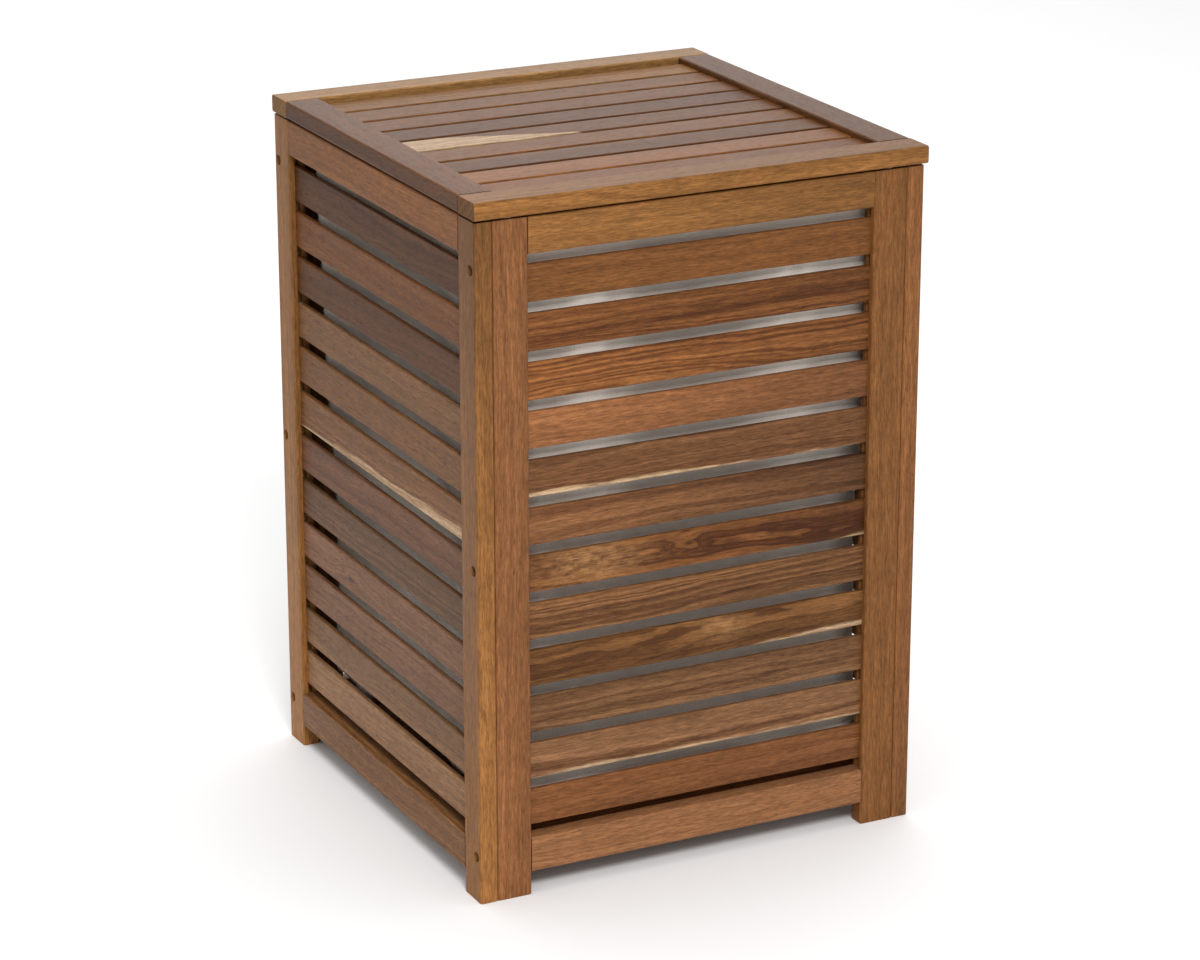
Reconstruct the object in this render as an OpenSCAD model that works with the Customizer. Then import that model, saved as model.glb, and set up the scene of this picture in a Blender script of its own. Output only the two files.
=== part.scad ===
// Laundry hamper in hardwood: four slatted frame panels screwed together at the corners,
// a slatted lid on two stop hinges, a slatted base, and a cloth bag that buttons onto
// studs inside the top rails.
// The origin is on the floor at the centre of the body. The front faces -Y.

/* [Body] */
// Width of the body, left to right
body_w = 410; // [340:1:520]
// Depth of the body, front to back
body_d = 410; // [340:1:520]
// Height of the body without the lid
body_h = 583; // [460:1:720]
// Height of the feet under the bottom rails
foot_h = 20; // [12:1:40]

/* [Frame stock] */
// Thickness of stiles and rails
frame_t = 16; // [13:0.1:22]
// Width of stiles and rails
frame_w = 31; // [25:0.5:40]
// Radius on the long edges of the frame stock
frame_r = 2; // [0.5:0.1:3]
// How far slats and tenons enter the stiles
tongue = 6; // [4:0.5:8]
// Play of a slat or tenon across its groove
groove_play = 0.1; // [0.05:0.05:0.3]
// Wood left above the groove at the top of a stile
haunch = 8; // [5:1:12]

/* [Slats] */
// Number of slats in each side panel
slat_count = 12; // [6:1:16]
// Open gap between slats, and between slats and rails
slat_gap = 9.5; // [4:0.5:16]
// Thickness of the slats
slat_t = 5; // [4:0.1:7]
// Radius on the long edges of the slats
slat_r = 1.2; // [0.4:0.1:1.8]

/* [Lid] */
// Thickness of the lid frame
lid_t = 15; // [12:0.1:20]
// Joint between the body and the closed lid
lid_gap = 2; // [1.6:0.1:4]
// How far the lid stands out past each side of the body
lid_side_over = 1.5; // [0:0.5:6]
// How far the lid stands out past the front of the body
lid_front_over = 4; // [0:0.5:12]
// Number of slats in the lid
lid_slat_count = 9; // [5:1:12]
// Open gap between the lid slats
lid_slat_gap = 4.5; // [3:0.5:10]
// Angle at which the stop hinges hold the open lid
lid_open = 100; // [90:1:110]

/* [Hinges] */
// Length of each hinge
hinge_l = 50; // [40:1:70]
// Distance from the side of the body to the middle of a hinge
hinge_inset = 80; // [74:1:110]
// Radius of the hinge barrel
barrel_r = 2.25; // [2:0.05:3]
// Radius of the hinge pin
pin_r = 1; // [0.8:0.05:1.2]
// Radial running clearance of the pin in the knuckles
pin_play = 0.04; // [0.01:0.01:0.1]
// Distance of the pin behind the back of the body
pin_back = 1.75; // [1.5:0.05:3]
// Reach of the stop tails, measured from the pin
tail_r = 7; // [5:0.5:9]

/* [Base and bag] */
// Number of slats in the base
base_slat_count = 7; // [4:1:10]
// Open gap between the base slats
base_gap = 14; // [6:1:20]
// Thickness of the base slats
base_t = 10; // [8:0.5:12]
// Thickness of the cleats that carry the base
cleat_t = 12; // [10:0.5:16]
// Height at which the bottom of the bag hangs over the base
bag_lift = 33; // [10:1:80]
// Thickness of the bag cloth at its seams
bag_t = 1.2; // [0.8:0.1:2]
// Space between the bag and the inside of the frame
bag_clear = 1; // [0.6:0.1:3]

/* [Fasteners] */
// Shank diameter of the corner screws
corner_screw_d = 4.5; // [4:0.1:5]
// Head diameter of the corner screws
corner_head_d = 8.4; // [7.6:0.1:9]
// Depth of the counterbore over a corner screw's head
counterbore = 6; // [4:0.5:7]
// Distance of the top and bottom corner screws from the ends of a stile
corner_screw_inset = 40; // [30:1:60]
// Shank diameter of the base screws
base_screw_d = 3.5; // [3:0.1:4]
// Length of the base screws
base_screw_l = 20; // [16:0.5:22]
// Shank diameter of the hinge screws
hinge_screw_d = 2.6; // [2.2:0.1:3]
// Length of the hinge screws
hinge_screw_l = 12; // [9:0.5:13]

/* [Hidden] */
$fn = 48;
screw_play = 0.1;

// Grooves, tenons and slats of the side panels
groove_w = slat_t + groove_play;
groove_top = body_h - haunch;
rail_low_z = foot_h;
rail_high_z = body_h - frame_w;
slat_zone = rail_high_z - rail_low_z - frame_w;
slat_h = (slat_zone - (slat_count + 1) * slat_gap) / slat_count;

// Inside of the body
inner_w = body_w - 2 * frame_t;
inner_d = body_d - 2 * frame_t;

// Corner screws run through a side panel into the edge of a front or back stile
screw_wall = 3;
corner_shank_l = frame_t - counterbore + frame_w - tongue - screw_wall;
corner_head_h = 3;
corner_hole_d = corner_screw_d + screw_play;
counterbore_d = corner_head_d + 0.6;
corner_screw_z = [corner_screw_inset, body_h / 2, body_h - corner_screw_inset];

// Lid frame
lid_z = body_h + lid_gap;
lid_w = body_w + 2 * lid_side_over;
lid_front_y = -body_d / 2 - lid_front_over;
lid_back_y = body_d / 2;
lid_in_w = lid_w - 2 * frame_w;
lid_in_front_y = lid_front_y + frame_w;
lid_in_d = lid_back_y - frame_w - lid_in_front_y;
lid_slat_w = (lid_in_d - (lid_slat_count + 1) * lid_slat_gap) / lid_slat_count;
lid_slat_z = lid_z + (lid_t - slat_t) / 2;
lid_tenon_w = frame_w - 2 * tongue;

// Bumpers sit over the front stiles and fill the joint under the lid
bumper_d = 10;
bumper_x = inner_w / 2 - frame_w / 2;
bumper_y = -body_d / 2 + frame_t / 2;

// Hinges
hinge_x = body_w / 2 - hinge_inset;
pin_y = body_d / 2 + pin_back;
leaf_clear = 0.1;
leaf_t = lid_gap / 2 - leaf_clear;
leaf_w = frame_t + pin_back - 2;
leaf_notch = barrel_r + 0.4;
knuckle_count = 5;
knuckle_gap = 0.2;
knuckle_l = (hinge_l - (knuckle_count - 1) * knuckle_gap) / knuckle_count;
tail_t = 1.2;
// Necks join a knuckle to its plate and its tail, and end inside the wall of the barrel
neck_l = knuckle_l - 2 * knuckle_gap;
neck_w = leaf_notch + 1 - (barrel_r + pin_r) / 2;
stop_half = lid_open / 2 + 0.3;
pin_head_r = pin_r + 0.7;
pin_head_l = 0.6;
hinge_head_d = 2 * hinge_screw_d;
hinge_screw_x = [-hinge_l * 0.36, 0, hinge_l * 0.36];
hinge_screw_y = -frame_t / 2 - pin_back;

// Base, just below the top of the bottom rails
base_top = foot_h + frame_w - 2;
base_z = base_top - base_t;
base_end_gap = 1;
base_slat_l = inner_w - 2 * base_end_gap;
base_slat_w = (inner_d - (base_slat_count + 1) * base_gap) / base_slat_count;
cleat_z = foot_h + 1;
cleat_h = base_z - cleat_z;
cleat_l = inner_d - 2 * base_end_gap;
base_head_d = 2 * base_screw_d;
// The cleat screws lie in gaps of the base, clear of the screws in its slats
cleat_screw_gaps = [1, floor(base_slat_count / 2), ceil(base_slat_count / 2), base_slat_count - 1];
cleat_screw_y = [for (i = cleat_screw_gaps) base_slat_y(i) + base_slat_w + base_gap / 2];

// Bag and its studs
bag_w = inner_w - 2 * bag_clear;
bag_d = inner_d - 2 * bag_clear;
bag_top = body_h - 6;
bag_bottom = base_top + bag_lift;
stud_z = body_h - frame_w / 2;
stud_post_r = 2.2;
stud_base_r = 4.5;
stud_cap_r = 5.5;
stud_cap_h = 2.5;
stud_screw_r = 1.5;
stud_screw_l = 9;

SIDES = ["front", "right", "back", "left"];

// A stile is named after its panel and the neighbouring panel that it meets
function is_side(s) = s == "left" || s == "right";
function stile_end(s, e) =
    s == "front" ? (e < 0 ? "left" : "right") :
    s == "right" ? (e < 0 ? "front" : "back") :
    s == "back" ? (e < 0 ? "right" : "left") :
    (e < 0 ? "back" : "front");
function stile_name(s, e) = str(s, "_", stile_end(s, e), "_stile");
// The side panels run the full depth, and the front and back panels fit between them
function panel_w(s) = is_side(s) ? body_d : inner_w;
function open_w(s) = panel_w(s) - 2 * frame_w;
function slat_z(i) = rail_low_z + frame_w + slat_gap + (slat_count - i) * (slat_h + slat_gap);
function lid_slat_y(i) = lid_in_front_y + lid_slat_gap + (i - 1) * (lid_slat_w + lid_slat_gap);
function knuckle_x(k) = -hinge_l / 2 + k * (knuckle_l + knuckle_gap);

// Rectangle with rounded corners, from the origin
module rounded(a, b, r)
{
    translate([r, 0]) square([a - 2 * r, b]);
    translate([0, r]) square([a, b - 2 * r]);
    for (x = [r, a - r], y = [r, b - r]) translate([x, y]) circle(r);
}

// Planed bars with rounded long edges, running along one axis from the origin
module bar_x(size, r) rotate([90, 0, 90]) linear_extrude(size.x) rounded(size.y, size.z, r);
module bar_y(size, r) translate([0, size.y, 0]) rotate([90, 0, 0]) linear_extrude(size.y)
    rounded(size.x, size.z, r);
module bar_z(size, r) linear_extrude(size.z) rounded(size.x, size.y, r);

// A panel is drawn with its outer face on y = 0 and its middle on x = 0
module on_side(s)
{
    if (s == "front") translate([0, -body_d / 2, 0]) children();
    if (s == "right") translate([body_w / 2, 0, 0]) rotate(90) children();
    if (s == "back") translate([0, body_d / 2, 0]) rotate(180) children();
    if (s == "left") translate([-body_w / 2, 0, 0]) rotate(-90) children();
}

// Places a child on a corner screw's axis, with +Z pointing out of the panel
module at_corner_screw(s, e, z)
    on_side(s) translate([e * (panel_w(s) / 2 - frame_t / 2), counterbore, z]) rotate([90, 0, 0])
        children();

module stile(s, e)
    difference()
    {
        on_side(s) translate([e < 0 ? -panel_w(s) / 2 : panel_w(s) / 2 - frame_w, 0, 0])
            bar_z([frame_w, frame_t, body_h], frame_r);
        on_side(s)
            translate([e * (open_w(s) / 2 + tongue / 2) - tongue / 2, (frame_t - groove_w) / 2, foot_h])
                cube([tongue, groove_w, groove_top - foot_h]);
        for (z = corner_screw_z)
            if (is_side(s)) at_corner_screw(s, e, z)
            {
                cylinder(h = counterbore, d = counterbore_d);
                translate([0, 0, -frame_t]) cylinder(h = frame_t + 1, d = corner_hole_d);
            }
            else on_side(s)
                translate([e * panel_w(s) / 2, frame_t / 2, z]) rotate([0, -e * 90, 0])
                    cylinder(h = frame_w - tongue - screw_wall, d = corner_hole_d);
    }

module rail(s, z, tenon_h)
    on_side(s)
    {
        translate([-open_w(s) / 2, 0, z]) bar_x([open_w(s), frame_t, frame_w], frame_r);
        translate([-open_w(s) / 2 - tongue, (frame_t - slat_t) / 2, z])
            cube([open_w(s) + 2 * tongue, slat_t, tenon_h]);
    }

module bottom_rail(s)
    difference()
    {
        rail(s, rail_low_z, frame_w);
        if (is_side(s)) for (y = cleat_screw_y) cleat_screw(s, y) base_screw_hole();
    }

module top_rail(s)
    difference()
    {
        rail(s, rail_high_z, frame_w - haunch);
        for (x = stud_xs(s)) at_stud(s, x)
            translate([0, 0, -bag_clear - stud_screw_l])
                cylinder(h = stud_screw_l + 1, r = stud_screw_r + screw_play / 2);
        if (s == "back") for (x = [-hinge_x, hinge_x]) body_leaf_screws(x) hinge_screw_hole();
    }

module slat(s, i)
    on_side(s) translate([-open_w(s) / 2 - tongue, (frame_t - slat_t) / 2, slat_z(i)])
        bar_x([open_w(s) + 2 * tongue, slat_t, slat_h], slat_r);

// Counterbored screw with a hexagon socket, its head on the counterbore floor
module corner_screw()
    difference()
    {
        union()
        {
            cylinder(h = corner_head_h, d = corner_head_d);
            translate([0, 0, -corner_shank_l]) cylinder(h = corner_shank_l, d = corner_screw_d);
        }
        translate([0, 0, 1]) cylinder(h = corner_head_h, d = 4, $fn = 6);
    }

// Countersunk screw pointing down, its head flush with z = 0, and the hole it sits in
module countersunk(d, l, head_d, play)
{
    translate([0, 0, -l]) cylinder(h = l, d = d + play);
    translate([0, 0, -(head_d - d) / 2]) cylinder(h = (head_d - d) / 2, d1 = d + play, d2 = head_d + play);
}
module slotted_screw(d, l, head_d)
    difference()
    {
        countersunk(d, l, head_d, 0);
        for (a = [0, 90]) rotate(a) translate([-head_d * 0.3, -0.3, -0.6]) cube([head_d * 0.6, 0.6, 1]);
    }
module base_screw() slotted_screw(base_screw_d, base_screw_l, base_head_d);
module base_screw_hole() countersunk(base_screw_d, base_screw_l, base_head_d, screw_play);
module hinge_screw() slotted_screw(hinge_screw_d, hinge_screw_l, hinge_head_d);
module hinge_screw_hole() countersunk(hinge_screw_d, hinge_screw_l, hinge_head_d, screw_play);

// Screw positions, with the head's face on z = 0 and the shank pointing down
module cleat_screw(s, y)
    translate([(s == "left" ? -1 : 1) * (inner_w / 2 - cleat_t), y, cleat_z + cleat_h / 2])
        rotate([0, s == "left" ? 90 : -90, 0]) children();
module base_slat_screws(x)
    for (i = [1 : base_slat_count])
        translate([x * (inner_w / 2 - cleat_t / 2), base_slat_y(i) + base_slat_w / 2, base_top]) children();
module body_leaf_screws(x)
    for (u = hinge_screw_x) translate([x + u, pin_y + hinge_screw_y, body_h + leaf_t]) children();
module lid_leaf_screws(x)
    for (u = hinge_screw_x) translate([x + u, pin_y + hinge_screw_y, lid_z - leaf_t])
        rotate([180, 0, 0]) children();
function base_slat_y(i) = -inner_d / 2 + base_gap + (i - 1) * (base_slat_w + base_gap);

module lid_cross_rail(y)
    difference()
    {
        translate([-lid_w / 2, y, lid_z]) bar_x([lid_w, frame_w, lid_t], frame_r);
        for (e = [-1, 1])
            translate([e * (lid_w - frame_w) / 2 - lid_tenon_w / 2, lid_in_front_y - tongue, lid_slat_z])
                cube([lid_tenon_w, lid_in_d + 2 * tongue, slat_t]);
    }

module lid_front_rail() color("#b57a45") lid_cross_rail(lid_front_y);

module lid_back_rail() color("#a98565") difference()
{
    lid_cross_rail(lid_back_y - frame_w);
    for (x = [-hinge_x, hinge_x]) lid_leaf_screws(x) hinge_screw_hole();
}

module lid_side_rail(e) color("#8f7468") difference()
{
    union()
    {
        translate([e * (lid_w - frame_w) / 2 - frame_w / 2, lid_in_front_y, lid_z])
            bar_y([frame_w, lid_in_d, lid_t], frame_r);
        translate([e * (lid_w - frame_w) / 2 - lid_tenon_w / 2, lid_in_front_y - tongue, lid_slat_z])
            cube([lid_tenon_w, lid_in_d + 2 * tongue, slat_t]);
    }
    translate([e * (lid_in_w / 2 + tongue / 2) - tongue / 2, lid_in_front_y, lid_slat_z - groove_play / 2])
        cube([tongue, lid_in_d, groove_w]);
}

module lid_slat(i) color("#a58a74")
    translate([-lid_in_w / 2 - tongue, lid_slat_y(i), lid_slat_z])
        bar_x([lid_in_w + 2 * tongue, lid_slat_w, slat_t], slat_r);

// Leaf with its pin along X through the origin. It lies below the pin, and its tail leans
// down and back until the other leaf's tail meets it.
module hinge_leaf(knuckles)
    difference()
    {
        union()
        {
            translate([-hinge_l / 2, -leaf_w, -lid_gap / 2]) cube([hinge_l, leaf_w - leaf_notch, leaf_t]);
            rotate([-stop_half, 0, 0]) translate([-hinge_l / 2, leaf_notch, -tail_t])
                cube([hinge_l, tail_r - leaf_notch, tail_t]);
            for (k = knuckles) translate([knuckle_x(k), 0, 0])
            {
                rotate([0, 90, 0]) cylinder(h = knuckle_l, r = barrel_r);
                translate([knuckle_gap, -leaf_notch - 1, -lid_gap / 2]) cube([neck_l, neck_w, leaf_t]);
                rotate([-stop_half, 0, 0]) translate([knuckle_gap, leaf_notch + 1 - neck_w, -tail_t])
                    cube([neck_l, neck_w, tail_t]);
            }
        }
        translate([-hinge_l, 0, 0]) rotate([0, 90, 0]) cylinder(h = 2 * hinge_l, r = pin_r + pin_play);
        translate([0, hinge_screw_y, leaf_t - lid_gap / 2]) for (u = hinge_screw_x)
            translate([u, 0, 0]) hinge_screw_hole();
    }

// Places a child on a hinge's pin, halfway up the joint under the lid
module at_pin(x) translate([x, pin_y, body_h]) translate([0, 0, lid_gap / 2]) children();

module hinge_body_leaf(x) color("#9a9892") at_pin(x) hinge_leaf([0, 2, 4]);

module hinge_lid_leaf(x) color("#a9a7a0") at_pin(x) mirror([0, 0, 1]) hinge_leaf([1, 3]);

module hinge_pin(x) color("#c4c2bc") at_pin(x) translate([-hinge_l / 2, 0, 0]) rotate([0, 90, 0])
{
    cylinder(h = hinge_l, r = pin_r);
    for (z = [-pin_head_l, hinge_l]) translate([0, 0, z]) cylinder(h = pin_head_l, r = pin_head_r);
}

module hinge_body_screws() color("#77756f") for (x = [-hinge_x, hinge_x]) body_leaf_screws(x) hinge_screw();

module hinge_lid_screws() color("#77756f") for (x = [-hinge_x, hinge_x]) lid_leaf_screws(x) hinge_screw();

module lid_bumpers() color("#d8d6cf") for (e = [-1, 1])
    translate([e * bumper_x, bumper_y, body_h]) cylinder(h = lid_gap, d = bumper_d);

module corner_screws() color("#6f6a64")
    for (s = ["left", "right"], e = [-1, 1], z = corner_screw_z) at_corner_screw(s, e, z) corner_screw();

module base_cleat(s) color("#8a6242") difference()
{
    translate([s == "left" ? -inner_w / 2 : inner_w / 2 - cleat_t, -cleat_l / 2, cleat_z])
        cube([cleat_t, cleat_l, cleat_h]);
    for (y = cleat_screw_y) cleat_screw(s, y) base_screw_hole();
    base_slat_screws(s == "left" ? -1 : 1) base_screw_hole();
}

module base_slats() color("#96704c") difference()
{
    for (i = [1 : base_slat_count])
        translate([-base_slat_l / 2, base_slat_y(i), base_z]) bar_x([base_slat_l, base_slat_w, base_t], slat_r);
    for (x = [-1, 1]) base_slat_screws(x) base_screw_hole();
}

module base_screws() color("#77756f")
{
    for (s = ["left", "right"], y = cleat_screw_y) cleat_screw(s, y) base_screw();
    for (x = [-1, 1]) base_slat_screws(x) base_screw();
}

// A stud's axis points into the hamper, from the outer face of the bag
function stud_xs(s) = [-panel_w(s) / 4, panel_w(s) / 4];
module at_stud(s, x)
    on_side(s) translate([x, frame_t + bag_clear, stud_z]) rotate([-90, 0, 0]) children();

module laundry_bag() color("#d9d6ce") difference()
{
    translate([-bag_w / 2, -bag_d / 2, bag_bottom]) cube([bag_w, bag_d, bag_top - bag_bottom]);
    translate([bag_t - bag_w / 2, bag_t - bag_d / 2, bag_bottom + bag_t])
        cube([bag_w - 2 * bag_t, bag_d - 2 * bag_t, bag_top - bag_bottom]);
    for (s = SIDES, x = stud_xs(s)) at_stud(s, x)
        translate([0, 0, -1]) cylinder(h = bag_t + 2, r = stud_post_r + screw_play);
}

module bag_studs() color("#b9b7b0") for (s = SIDES, x = stud_xs(s)) at_stud(s, x)
{
    translate([0, 0, -bag_clear - stud_screw_l]) cylinder(h = stud_screw_l, r = stud_screw_r);
    translate([0, 0, -bag_clear]) cylinder(h = bag_clear, r = stud_base_r);
    cylinder(h = bag_t, r = stud_post_r);
    translate([0, 0, bag_t]) cylinder(h = stud_cap_h, r = stud_cap_r);
}

module panel_stile(s, e) color(is_side(s) ? "#a4703f" : "#b87a3e") stile(s, e);
module panel_top_rail(s) color("#c08a4c") top_rail(s);
module panel_bottom_rail(s) color("#b98660") bottom_rail(s);
module front_slat(i) color(i % 3 == 0 ? "#8d4f2b" : i % 3 == 1 ? "#b26b3a" : "#a0643a") slat("front", i);
module panel_slats(s) color("#8a6350") for (i = [1 : slat_count]) slat(s, i);

for (s = SIDES, e = [-1, 1]) panel_stile(s, e);
for (s = SIDES) panel_top_rail(s);
for (s = SIDES) panel_bottom_rail(s);
for (i = [1 : slat_count]) front_slat(i);
panel_slats("right");  // right_slats
panel_slats("back");  // back_slats
panel_slats("left");  // left_slats
lid_front_rail();
lid_back_rail();
lid_side_rail(-1);  // lid_left_rail
lid_side_rail(1);  // lid_right_rail
for (i = [1 : lid_slat_count]) lid_slat(i);
hinge_body_leaf(-hinge_x);  // left_hinge_body_leaf
hinge_lid_leaf(-hinge_x);  // left_hinge_lid_leaf
hinge_pin(-hinge_x);  // left_hinge_pin
hinge_body_leaf(hinge_x);  // right_hinge_body_leaf
hinge_lid_leaf(hinge_x);  // right_hinge_lid_leaf
hinge_pin(hinge_x);  // right_hinge_pin
hinge_body_screws();
hinge_lid_screws();
lid_bumpers();
corner_screws();
base_cleat("left");  // left_base_cleat
base_cleat("right");  // right_base_cleat
base_slats();
base_screws();
laundry_bag();
bag_studs();
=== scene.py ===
import math
import random

import bmesh
import bpy
from mathutils import Matrix, Vector, noise


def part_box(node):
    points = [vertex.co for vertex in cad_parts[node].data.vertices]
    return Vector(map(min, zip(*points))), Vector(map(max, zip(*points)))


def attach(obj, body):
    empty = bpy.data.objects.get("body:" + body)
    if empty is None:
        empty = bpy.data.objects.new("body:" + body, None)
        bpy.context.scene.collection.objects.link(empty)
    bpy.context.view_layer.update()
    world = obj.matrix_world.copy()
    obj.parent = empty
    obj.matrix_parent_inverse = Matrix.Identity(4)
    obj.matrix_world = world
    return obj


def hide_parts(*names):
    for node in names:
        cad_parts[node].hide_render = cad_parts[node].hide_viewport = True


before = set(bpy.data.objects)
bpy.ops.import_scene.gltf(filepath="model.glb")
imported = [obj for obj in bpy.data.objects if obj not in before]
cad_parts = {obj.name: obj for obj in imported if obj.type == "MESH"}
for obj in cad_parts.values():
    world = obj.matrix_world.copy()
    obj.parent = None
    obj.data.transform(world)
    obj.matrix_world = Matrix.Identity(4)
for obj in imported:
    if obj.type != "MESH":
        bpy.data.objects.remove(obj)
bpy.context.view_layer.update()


# ---------------------------------------------------------------- corner stiles
# Eight upright stiles of oiled acacia, two to a panel, planed with eased long edges.
# Each has a groove in its inner edge for the slats and rails; the side panels' stiles
# are counterbored for the screws that pull the four panels together.

X, Y, Z = 0, 1, 2
STOCK_T = 0.016
STOCK_W = 0.031
STOCK_R = 0.002
FOOT = 0.020
BODY = 0.410
BODY_H = 0.583
GROOVE_W = 0.0051
GROOVE_DEEP = 0.006
GROOVE_TOP = 0.575
SCREW_INSET = 0.040
SCREW_Z = (SCREW_INSET, BODY_H / 2, BODY_H - SCREW_INSET)
COUNTERBORE_R = 0.0045
COUNTERBORE_DEEP = 0.006
SHANK_R = 0.0023
END_EASE = 0.0006
TENON_R = 0.0003
CLEAR_CUT = 0.001
CORNER_STEPS = 4
STATION = 0.055


def rounded_ring(low_b, high_b, low_c, high_c, radius):
    """Points round a rectangle with rounded corners, anticlockwise."""
    radius = min(radius, 0.499 * (high_b - low_b), 0.499 * (high_c - low_c))
    corners = (
        (high_b - radius, high_c - radius),
        (low_b + radius, high_c - radius),
        (low_b + radius, low_c + radius),
        (high_b - radius, low_c + radius),
    )
    points = []
    for quarter, (b, c) in enumerate(corners):
        for step in range(CORNER_STEPS + 1):
            turn = math.radians(90) * (quarter + step / CORNER_STEPS)
            points.append((b + radius * math.cos(turn), c + radius * math.sin(turn)))
    return points


def skin(bm, rings, close_ends=True):
    """Joins rings of vertices into a skin of quads, with a face over each end."""
    rows = [[bm.verts.new(point) for point in ring] for ring in rings]
    count = len(rows[0])
    for near, far in zip(rows, rows[1:]):
        for k in range(count):
            after = (k + 1) % count
            bm.faces.new((near[k], near[after], far[after], far[k]))
    if close_ends:
        bm.faces.new(rows[0][::-1])
        bm.faces.new(rows[-1])
    return rows


def new_piece(name, bm):
    """Turns a bmesh into an object in the scene."""
    mesh = bpy.data.meshes.new(name)
    bm.to_mesh(mesh)
    bm.free()
    piece = bpy.data.objects.new(name, mesh)
    bpy.context.scene.collection.objects.link(piece)
    return piece


def planed_bar(name, low, high, along, radius, tenon=None):
    """A bar between two corners, its long edges rounded and its ends eased.
    tenon is (length, low b, high b, low c, high c) of the tongue left on both ends."""
    b, c = (along + 1) % 3, (along + 2) % 3
    start, end = low[along], high[along]
    bays = max(1, round((end - start) / STATION))
    eased_end = ((0.0, END_EASE), (0.3 * END_EASE, 0.3 * END_EASE), (END_EASE, 0.0))
    stations = [(start + back, inset) for back, inset in eased_end]
    stations += [(start + (end - start) * bay / bays, 0.0) for bay in range(1, bays)]
    stations += [(end - back, inset) for back, inset in reversed(eased_end)]
    rings = []
    for at, inset in stations:
        sides = (low[b] + inset, high[b] - inset, low[c] + inset, high[c] - inset)
        rings.append([(at, p, q) for p, q in rounded_ring(*sides, radius)])
    if tenon:
        length, low_b, high_b, low_c, high_c = tenon
        ring = rounded_ring(low_b, high_b, low_c, high_c, TENON_R)
        rings.insert(0, [(start, p, q) for p, q in ring])
        rings.insert(0, [(start - length, p, q) for p, q in ring])
        rings.append([(end, p, q) for p, q in ring])
        rings.append([(end + length, p, q) for p, q in ring])
    turned = [[Vector(point[(k - along) % 3] for k in range(3)) for point in ring] for ring in rings]
    bm = bmesh.new()
    skin(bm, turned)
    return new_piece(name, bm)


def turned_cutter(profile, at, towards, sides=32):
    """A closed turned solid on an axis, from (distance along, radius) pairs."""
    turn = Vector((0, 0, 1)).rotation_difference(Vector(towards)).to_matrix()
    rings = []
    for along, radius in profile:
        ring = []
        for side in range(sides):
            angle = 2 * math.pi * side / sides
            point = Vector((radius * math.cos(angle), radius * math.sin(angle), along))
            ring.append(Vector(at) + turn @ point)
        rings.append(ring)
    bm = bmesh.new()
    skin(bm, rings)
    return new_piece("cutter", bm)


def block_cutter(low, high):
    """A plain block to cut a groove or a housing with."""
    bm = bmesh.new()
    ring = [(low[0], low[1]), (high[0], low[1]), (high[0], high[1]), (low[0], high[1])]
    skin(bm, [[Vector((p, q, low[2])) for p, q in ring], [Vector((p, q, high[2])) for p, q in ring]])
    return new_piece("cutter", bm)


def cut(piece, *cutters):
    """Takes each cutter's shape out of a piece for good."""
    for cutter in cutters:
        tool = piece.modifiers.new("cut", "BOOLEAN")
        tool.solver = "EXACT"
        tool.object = cutter
    graph = bpy.context.evaluated_depsgraph_get()
    shaped = bpy.data.meshes.new_from_object(piece.evaluated_get(graph))
    shaped.name = piece.name
    piece.modifiers.clear()
    piece.data = shaped
    for cutter in cutters:
        bpy.data.objects.remove(cutter)


SHARP_OVER = math.radians(35)


def smooth(piece):
    """Shades every face of a piece smooth."""
    for face in piece.data.polygons:
        face.use_smooth = True


def soften(piece):
    """Smooth shading that keeps true edges sharp and flat faces flat."""
    smooth(piece)
    piece.data.set_sharp_from_angle(angle=SHARP_OVER)
    flat = piece.modifiers.new("flat faces stay flat", "WEIGHTED_NORMAL")
    flat.keep_sharp = True


def lay_grain(piece, along):
    """Stores where each point lies in its board: along the grain, across and through it."""
    points = [vertex.co for vertex in piece.data.vertices]
    low = [min(p[k] for p in points) for k in range(3)]
    high = [max(p[k] for p in points) for k in range(3)]
    b, c = (along + 1) % 3, (along + 2) % 3
    across, through = (b, c) if high[b] - low[b] > high[c] - low[c] else (c, b)
    place = piece.data.attributes.new("grain", "FLOAT_VECTOR", "POINT")
    for vertex, spot in zip(piece.data.vertices, place.data):
        spot.vector = [vertex.co[k] - (low[k] + high[k]) / 2 for k in (along, across, through)]
    ends = piece.data.attributes.new("end_grain", "FLOAT", "FACE")
    for face, end in zip(piece.data.polygons, ends.data):
        end.value = 1.0 if abs(face.normal[along]) > 0.8 else 0.0
    # a mask of the narrow edge faces, used only to paint light and shade on them
    edges = piece.data.attributes.new("edge_grain", "FLOAT", "FACE")
    for face, edge in zip(piece.data.polygons, edges.data):
        edge.value = face.normal[across] ** 2


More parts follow.
